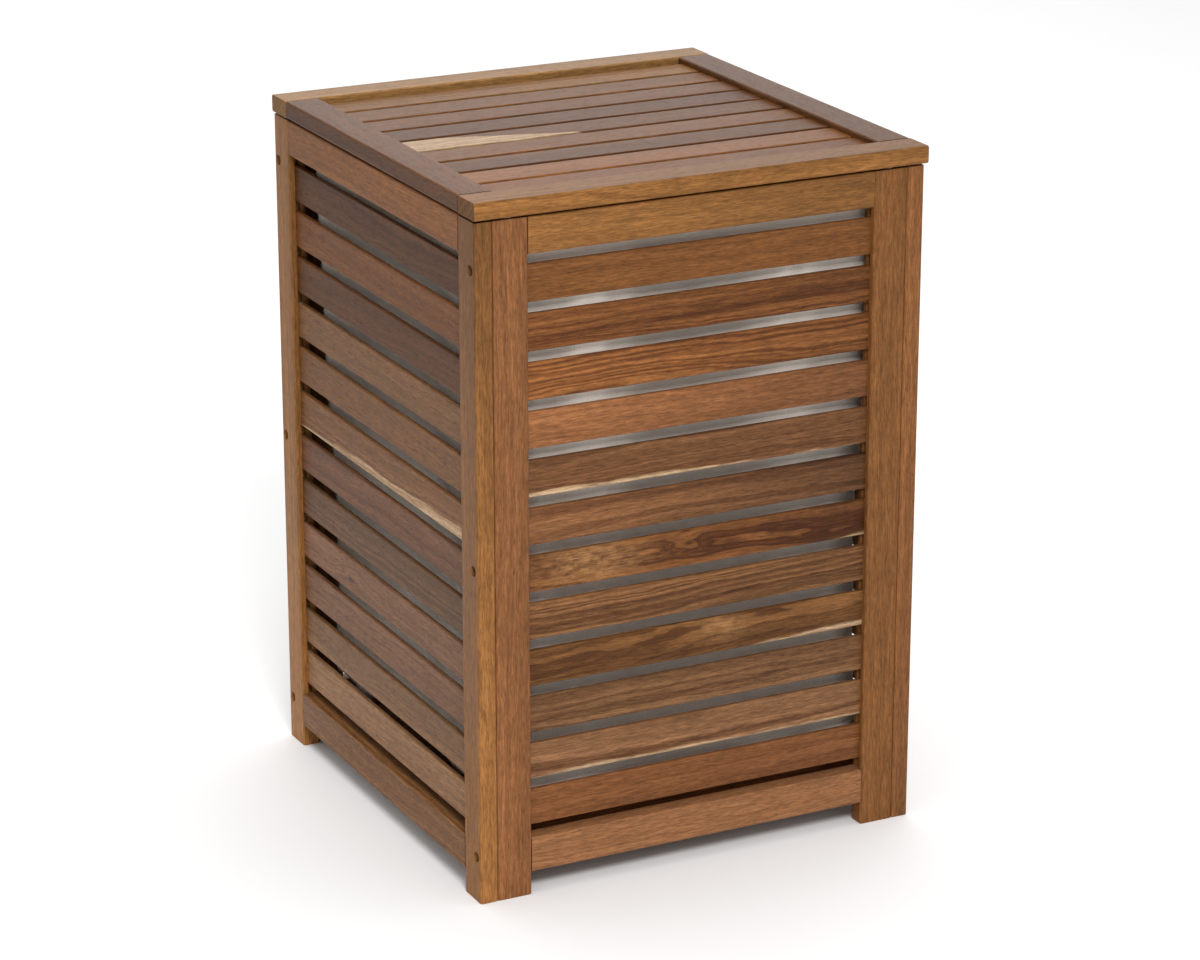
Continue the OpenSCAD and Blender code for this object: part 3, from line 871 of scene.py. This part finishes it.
def bag_point(share, height):
    """A point of the hanging bag; height is 0 at the bottom seam and 1 at the top edge."""
    fall = 1 - height
    half, corner = bag_size(height)
    point, outward, along, quarter = bag_outline(share, half, corner)
    flat_wall = max(0.0, 1 - abs(along) ** 4)
    stud = STUD_AT[(quarter + 1) % 2] / (half - corner)
    beside = abs(along) - stud
    taut = hump(beside, TAUT_W)

    # the upper wall bellies out between the slats and the lower wall sags inwards
    lean = 0.10 * math.sin(quarter * 2.3 + 7.0 * fall)
    ridge = hump(abs(along + lean * fall) - stud, RIDGE_W)
    billow = eased(fall, 0.040, 0.12) * (1 - eased(fall, 0.35, 0.59))
    sag = eased(fall, 0.39 + 0.05 * ridge, 0.62) * (1 - 0.5 * eased(fall, 0.90, 1.0))
    inward = BILLOW_IN * flat_wall * eased(fall, 0.03, 0.20) * (1 - ridge)
    inward -= BILLOW_OUT[quarter] * billow * (0.35 + 0.65 * ridge) * flat_wall
    inward += SET_IN[quarter] * eased(fall, 0.04, 0.20) * (1 - eased(fall, 0.86, 1.0)) * flat_wall
    inward += EDGE_SLACK[quarter] * (1 - taut) * flat_wall * hump(fall, 0.20)
    inward += SAG_IN * sag * (0.55 + 0.45 * flat_wall)

    # folds, pleats and creases, and pull lines that spread from the studs
    folds = crumple(point, height, FOLDS) * (0.4 + sag)
    folds += crumple(point, height, PLEATS, z_shift=quarter * 7) * (0.35 + 0.65 * height)
    folds += crumple(point, height, CREASES, x_shift=9)
    folds += PULL_DEEP * (math.cos(beside * 46) * hump(beside, PULL_W)) * hump(fall, 0.16)
    folds *= 1 + EXTRA_FOLDS[quarter] * flat_wall
    inward += folds * min(1.0, fall * 9 + 0.08)

    # flat under each stud, and never out past the frame
    from_stud = beside * (half - corner) / STUD_FLAT[0]
    over_stud = (BAG_LOW + height * BAG_TALL - STUD_Z) / STUD_FLAT[1]
    inward *= 1 - math.exp(-(from_stud ** 4)) * math.exp(-(over_stud ** 4))
    gap_share = eased(fall, 0.055, 0.13) * (1 - eased(fall, 0.80, 0.92))
    inward = max(NEAREST_FRAME - INTO_GAPS * gap_share, inward)
    drop = EDGE_DROP * (1 - taut) * hump(fall, 0.05)
    out = point - outward * inward
    return Vector((out.x, out.y, BAG_LOW + height * BAG_TALL - drop))


bm = bmesh.new()
rings = []
for step in range(FLOOR_RINGS):
    shrink = (step + 0.35) / FLOOR_RINGS
    curl = math.sqrt(max(0.0, 1 - (max(0.0, shrink - 0.93) / 0.07) ** 2))
    ring = []
    for k in range(RING_POINTS):
        rim = bag_point(k / RING_POINTS, 0.0)
        spot = Vector((rim.x * shrink, rim.y * shrink, 0))
        wrinkle = crumple(spot, 1, FLOOR_FOLDS) + crumple(spot, 1, FLOOR_CREASES)
        spot.z = BAG_LOW - FLOOR_SAG * curl * (1 - 0.55 * shrink) + wrinkle * (1 - shrink ** 6)
        ring.append(spot)
    rings.append(ring)
for step in range(WALL_STEPS + 1):
    height = step / WALL_STEPS
    rings.append([bag_point(k / RING_POINTS, height) for k in range(RING_POINTS)])
rows = skin(bm, rings, close_ends=False)
bm.faces.new(rows[0][::-1])
bag = new_piece("cloth_bag", bm)


def lay_weave(piece, places):
    """Stores where each point lies in its cloth, along the two threads."""
    threads = piece.data.attributes.new("weave", "FLOAT_VECTOR", "POINT")
    for spot, place in zip(threads.data, places):
        spot.vector = place


floor_points = bag.data.vertices[: FLOOR_RINGS * RING_POINTS]
places = [(vertex.co.x, vertex.co.y, 0.0) for vertex in floor_points]
for step in range(WALL_STEPS + 1):
    up = WEAVE_TALL * step / WALL_STEPS
    for k in range(RING_POINTS):
        places.append((WEAVE_ROUND * min(k, RING_POINTS - k) / RING_POINTS * 2, up, 1.0))
lay_weave(bag, places)


def plain_cotton(name, colour):
    """Plain-woven cloth with slubs, faint darker blotches and a soft nap."""
    s = Shader(name)
    thread = s.of_mesh("weave")
    along, up, _ = s.split(thread)
    turns = 2 * math.pi / THREAD_PITCH
    warp = s.sums("SINE", s.times(along, turns))
    weft = s.sums("SINE", s.times(up, turns))
    over = s.times(warp, weft)
    slub_warp = s.noise(thread, (900.0, 24.0, 9.0), 2.0, 0.6)
    slub_weft = s.noise(thread, (24.0, 900.0, 9.0), 2.0, 0.6)
    slubs = s.plus(slub_warp, slub_weft)
    mottle = s.noise(thread, (14.0, 14.0, 14.0), 3.0, 0.6)
    darker = tuple(part * 0.86 for part in colour)
    tint = s.mix(s.step(slubs, 0.85, 1.2), darker, colour)
    tint = s.mix(s.step(mottle, 0.3, 0.7, 0.0, 0.25), tint, darker)
    height = s.times_plus(over, 0.35, slubs)
    relief = s.node("Bump", {"Height": height, "Strength": 0.35, "Distance": 0.00018})
    return s.surface(
        {
            "Base Color": tint,
            "Roughness": s.step(slubs, 0.8, 1.2, 0.82, 0.94),
            "Normal": relief.outputs[0],
            "Sheen Weight": 0.25,
            "Sheen Roughness": 0.5,
        }
    )


bag_cloth = plain_cotton("bag_cloth", (0.79, 0.710, 0.625))
smooth(bag)
bag.data.materials.append(bag_cloth)
thicken = bag.modifiers.new("cloth thickness", "SOLIDIFY")
thicken.thickness = CLOTH_T
thicken.offset = 0.0
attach(bag, "hamper")
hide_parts("laundry_bag")


def band(name, rows_of_points, thick, material):
    """A closed strip of doubled cloth that follows rows of points round the bag."""
    bm = bmesh.new()
    skin(bm, rows_of_points, close_ends=False)
    made = new_piece(name, bm)
    smooth(made)
    made.data.materials.append(material)
    width = len(rows_of_points[0])
    places = []
    for row in range(len(rows_of_points)):
        places += [(1.5 * min(k, width - k) / width * 2, 0.003 * row, 2.0) for k in range(width)]
    lay_weave(made, places)
    fold = made.modifiers.new("fold", "SOLIDIFY")
    fold.thickness = thick
    fold.offset = 0.0
    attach(made, "hamper")
    return made


HEM_H = 0.024
HEM_T = 0.0019
HEM_STEPS = 8


def round_the_bag(height):
    """The points of the bag's wall at one height."""
    return [bag_point(k / RING_POINTS, height) for k in range(RING_POINTS)]


hem_rows = []
for step in range(HEM_STEPS + 1):
    hem_rows.append(round_the_bag(1 - (1 - step / HEM_STEPS) * HEM_H / BAG_TALL))
hem = band("bag_hem", hem_rows, HEM_T, bag_cloth)

SEAM_AT = 0.483
SEAM_HALF = 0.0036
SEAM_T = 0.0022
SEAM_FROM = 0.012
SEAM_RISE = 0.940
SEAM_STEPS = 60
seam_rows = []
for step in range(SEAM_STEPS + 1):
    height = SEAM_FROM + SEAM_RISE * step / SEAM_STEPS
    row = [bag_point(SEAM_AT + SEAM_HALF * k / 3, height) for k in range(-3, 4)]
    back = [point.lerp(Vector((0, 0, point.z)), 0.0004) for point in row[::-1]]
    seam_rows.append(row + back)
side_seam = band("bag_side_seam", seam_rows, SEAM_T / 2, bag_cloth)

BOTTOM_SEAM = 0.014
bottom_rows = [round_the_bag(BOTTOM_SEAM * step / 4) for step in range(5)]
bottom_seam = band("bag_bottom_seam", bottom_rows, SEAM_T, bag_cloth)

STITCH = 0.0030
STITCH_R = 0.00032
STITCHES_ROUND = 350
STITCH_REACH = 0.36 / STITCHES_ROUND
STITCH_PITCH = STITCH * 1.35
STITCH_SHAPE = ((0.0, 0.35), (0.2, 1.0), (0.8, 1.0), (1.0, 0.35))
HEM_ROW_IN = 0.0025


def sew(bm, start, end, radius=STITCH_R):
    """One stitch: a thread that rises out of the cloth, lies on it and goes in again."""
    line = end - start
    side = line.orthogonal().normalized()
    other = line.cross(side).normalized()
    rings = []
    for share, thick in STITCH_SHAPE:
        ring = []
        for k in range(5):
            turn = 2 * math.pi * k / 5
            spoke = side * math.cos(turn) + other * math.sin(turn)
            ring.append(start + line * share + spoke * radius * thick)
        rings.append(ring)
    skin(bm, rings)


def off_the_wall(share, height, clear):
    """A point that stands off the bag's wall, to the inside where clear is positive."""
    here = bag_point(share, height)
    beside = bag_point(share + 0.0015, height)
    above = bag_point(share, min(1.0, height + 0.004)) - bag_point(share, height - 0.004)
    inwards = above.cross(beside - here).normalized()
    if inwards.dot(Vector((here.x, here.y, 0))) > 0:
        inwards = -inwards
    return here + inwards * clear


def sew_row(bm, thick, stitches):
    """A row of stitches on both faces of a hem or seam of a given thickness."""
    for side in (-1, 1):
        clear = side * (thick / 2 + 0.6 * STITCH_R)
        for start, end in stitches:
            sew(bm, off_the_wall(*start, clear), off_the_wall(*end, clear))


bm = bmesh.new()
for down in (HEM_ROW_IN, HEM_H - HEM_ROW_IN):
    height = 1 - down / BAG_TALL
    row = []
    for k in range(STITCHES_ROUND):
        share = k / STITCHES_ROUND
        row.append(((share - STITCH_REACH, height), (share + STITCH_REACH, height)))
    sew_row(bm, HEM_T, row)
for across in (-0.6, 0.6):
    share = SEAM_AT + SEAM_HALF * across
    row = []
    for k in range(int(0.93 * BAG_TALL / STITCH_PITCH)):
        height = 0.015 + k * STITCH_PITCH / BAG_TALL
        row.append(((share, height), (share, height + STITCH / BAG_TALL)))
    sew_row(bm, SEAM_T, row)

HOLE_LONG = 0.0080
HOLE_HALF = 0.0016
HOLE_EDGE = 0.0015
HOLE_STITCHES = 44
height = 1 - (BAG_TOP - STUD_Z) / BAG_TALL
half, corner = bag_size(height)
whole = 4 * (2 * (half - corner) + math.pi * corner / 2)
clear = HEM_T / 2 + 0.5 * STITCH_R
for quarter in range(4):
    for end in (-1, 1):
        across = half - corner + end * STUD_AT[(quarter + 1) % 2]
        share = quarter / 4 + across / whole
        for k in range(HOLE_STITCHES):
            turn = 2 * math.pi * k / HOLE_STITCHES
            run = Vector((math.copysign(abs(math.cos(turn)) ** 0.6, math.cos(turn)), math.sin(turn)))
            ends = []
            for grow in (0.0, HOLE_EDGE):
                at = share + run.x * (HOLE_LONG + grow) / whole
                up = height + run.y * (HOLE_HALF + grow) / BAG_TALL
                ends.append(off_the_wall(at, up, clear))
            sew(bm, ends[0], ends[1], STITCH_R * 0.9)
stitching = new_piece("bag_stitching", bm)
smooth(stitching)
lay_weave(stitching, [vertex.co for vertex in stitching.data.vertices])
stitching.data.materials.append(plain_cotton("sewing_thread", (0.60, 0.535, 0.460)))
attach(stitching, "hamper")


# ---------------------------------------------------------------- bag studs
# Eight nickel-plated snap studs screwed into the top rails; the bag's hem buttons
# over them, and their caps show on the inside.

nickel = metal("nickel", (0.66, 0.63, 0.58), 0.26, 0.06, 0.15)
keep_node("bag_studs", nickel, 0.0003)


# ---------------------------------------------------------------- lid frame
# A flat frame of the same stock on its side: the front and back rails run the full
# width and the side rails are tenoned between them, with a groove for the lid slats.

LID_TONGUE = 0.006
LID_TENON_W = STOCK_W - 2 * LID_TONGUE
STOPPED = 0.0001

lid_acacia = oiled_acacia("lid_acacia", roughness=0.38, specular=0.11)

# fade and edge here are painted light: fade paints each rail darker along its length as the light
# falls off, and edge paints the front rail's edges lighter where they face the lamp and the left
# rail's edges darker where they are in shade
LID_RAILS = {
    "lid_front_rail": (X, dict(
        tone=(0.189, 0.0807, 0.0218), streaks=0.25, pith=(0.050, 0.040, 0.006),
        fade=-0.2, edge=0.33,
    )),
    "lid_back_rail": (X, dict(
        tone=(0.270, 0.137, 0.0443), streaks=0.20, pith=(0.060, 0.050, 0.0),
        fade=-0.6,
    )),
    "lid_left_rail": (Y, dict(
        tone=(0.122, 0.0438, 0.0118), streaks=0.35, pith=(0.030, 0.030, 0.008),
        fade=-0.5, edge=-0.31,
    )),
    "lid_right_rail": (Y, dict(
        tone=(0.103, 0.0387, 0.0105), streaks=0.35, pith=(0.040, 0.026, 0.004),
    )),
}

for name, (run, board) in LID_RAILS.items():
    low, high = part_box(name)
    middle = (low.z + high.z) / 2
    tenon = None
    if run == Y:
        low.y += LID_TONGUE
        high.y -= LID_TONGUE
        centre = (low.x + high.x) / 2
        tenon = (
            LID_TONGUE,
            middle - TONGUE_T / 2,
            middle + TONGUE_T / 2,
            centre - LID_TENON_W / 2,
            centre + LID_TENON_W / 2,
        )
    rail = planed_bar(name + "_wood", low, high, run, STOCK_R, tenon)
    if run == Y:
        inner, into = (high.x, -1) if centre < 0 else (low.x, 1)
        near, far = sorted((inner + into * LID_TONGUE, inner - into * CLEAR_CUT))
        groove_low = (near, low.y + STOPPED, middle - GROOVE_W / 2)
        groove_high = (far, high.y - STOPPED, middle + GROOVE_W / 2)
        cut(rail, block_cutter(groove_low, groove_high))
    choose_board(rail, **board)
    wooden(rail, run, lid_acacia, "lid_wood", "lid", name)


# ---------------------------------------------------------------- lid slats
# Nine slats across the lid, let into the grooves of its side rails a little below
# the top of the frame.

# fade here is painted light: it paints each slat darker along its length as the light falls off
# across the lid
LID_SLATS = (
    dict(tone=(0.174, 0.0626, 0.0169), streaks=0.25, pith=(0.040, 0.040, 0.004), fade=-0.8),
    dict(tone=(0.202, 0.0747, 0.0202), streaks=0.20, pith=(0.050, 0.040, 0.0), fade=-0.6),
    dict(tone=(0.110, 0.0395, 0.0107), streaks=0.40, pith=(0.030, 0.030, 0.010)),
    dict(tone=(0.154, 0.0581, 0.0157), streaks=0.30, pith=(0.024, 0.030, -0.010)),
    dict(
        tone=(0.125, 0.0450, 0.0121), streaks=0.45, pith=(0.014, 0.024, 0.012),
        sap=(-1, 0.0225, -0.300),
    ),
    dict(tone=(0.0935, 0.0337, 0.0091), streaks=0.40, pith=(0.036, 0.030, 0.0)),
    dict(tone=(0.138, 0.0511, 0.0138), streaks=0.35, pith=(0.030, 0.020, 0.008)),
    dict(tone=(0.156, 0.0607, 0.0164), streaks=0.35, pith=(0.020, 0.030, -0.006)),
    dict(tone=(0.205, 0.0898, 0.0243), streaks=0.45, pith=(0.030, 0.024, 0.010)),
)

for number, board in enumerate(LID_SLATS, start=1):
    name = f"lid_slat_{number}"
    low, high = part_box(name)
    slat = planed_bar(name + "_wood", low, high, X, SLAT_R)
    choose_board(slat, **board)
    wooden(slat, X, lid_acacia, "lid_slat_wood", "lid", name)


# ---------------------------------------------------------------- lid bumpers
# Two grey rubber discs glued under the lid's front corners soften its landing on the
# front stiles.


def rubber(name, colour):
    """Soft moulded rubber with a matt, slightly dusty skin."""
    s = Shader(name)
    place = s.node("TexCoord", {}).outputs["Object"]
    dust = s.noise(place, (700.0, 700.0, 700.0), 3.0, 0.6)
    worn = tuple(part * 0.8 for part in colour)
    relief = s.node("Bump", {"Height": dust, "Strength": 0.2, "Distance": 0.0001})
    return s.surface(
        {
            "Base Color": s.mix(s.step(dust, 0.35, 0.65), worn, colour),
            "Roughness": s.step(dust, 0.3, 0.7, 0.55, 0.72),
            "Normal": relief.outputs[0],
        }
    )


keep_node("lid_bumpers", rubber("grey_rubber", (0.55, 0.54, 0.52)), 0.0003)


# ---------------------------------------------------------------- hinges
# Two plated steel hinges behind the lid. Each leaf has a tail behind its barrel, and
# the tails meet when the lid is a little past upright, so it stands open by itself.

plated = metal("plated_steel", (0.60, 0.58, 0.53), 0.36, 0.12, 0.22)
for side in ("left", "right"):
    for part in ("hinge_body_leaf", "hinge_lid_leaf", "hinge_pin"):
        keep_node(f"{side}_{part}", plated, 0.00015)
for name in ("hinge_body_screws", "hinge_lid_screws"):
    keep_node(name, plated, 0.0001)


# ---------------------------------------------------------------- studio
# A pale floor and a pale surround, lit by three soft square lamps: a strong one in front
# to the left, a broad one overhead and a weak one behind.

bpy.context.scene.view_settings.view_transform = "Standard"

s = Shader("pale_floor")
place = s.node("TexCoord", {}).outputs["Object"]
cloud = s.noise(place, (3.0, 3.0, 3.0), 2.0, 0.5)
floor_paint = s.surface(
    {
        "Base Color": s.mix(cloud, (0.86, 0.86, 0.86), (0.88, 0.88, 0.88)),
        "Roughness": 0.85,
        "Specular IOR Level": 0.2,
    }
)
bm = bmesh.new()
bmesh.ops.create_circle(bm, cap_ends=True, segments=96, radius=30.0)
ground = new_piece("floor", bm)
ground.data.materials.append(floor_paint)

world = bpy.data.worlds.new("surround")
bpy.context.scene.world = world
world.use_nodes = True
surround = world.node_tree.nodes["Background"]
surround.inputs["Color"].default_value = (1.0, 1.0, 1.0, 1.0)
surround.inputs["Strength"].default_value = 0.80


def soft_lamp(name, at, size, power, target=(0.0, 0.0, 0.3)):
    """A large square lamp that points at the hamper."""
    lamp = bpy.data.lights.new(name, "AREA")
    lamp.shape = "SQUARE"
    lamp.size = size
    lamp.energy = power
    made = bpy.data.objects.new(name, lamp)
    made.location = at
    made.rotation_euler = (Vector(at) - Vector(target)).to_track_quat("Z", "Y").to_euler()
    made.visible_camera = False
    bpy.context.scene.collection.objects.link(made)


soft_lamp("front_lamp", (-1.0, -2.9, 2.80), 0.9, 84.0)
soft_lamp("top_lamp", (0.4, 0.9, 3.6), 2.6, 42.0)
soft_lamp("back_lamp", (1.3, 3.4, 1.7), 2.2, 12.0)

VIEW_FROM = (-1.4412, -2.8728, 1.3804)
LOOK_DOWN = 0.3306
LOOK_ROUND = -0.4674

camera = bpy.data.cameras.new("camera")
camera.sensor_width = 36.0
camera.lens = 116.99
camera.clip_end = 100.0
viewer = bpy.data.objects.new("camera", camera)
viewer.location = VIEW_FROM
viewer.rotation_euler = (math.pi / 2 - LOOK_DOWN, 0.0, LOOK_ROUND)
bpy.context.scene.collection.objects.link(viewer)
bpy.context.scene.camera = viewer
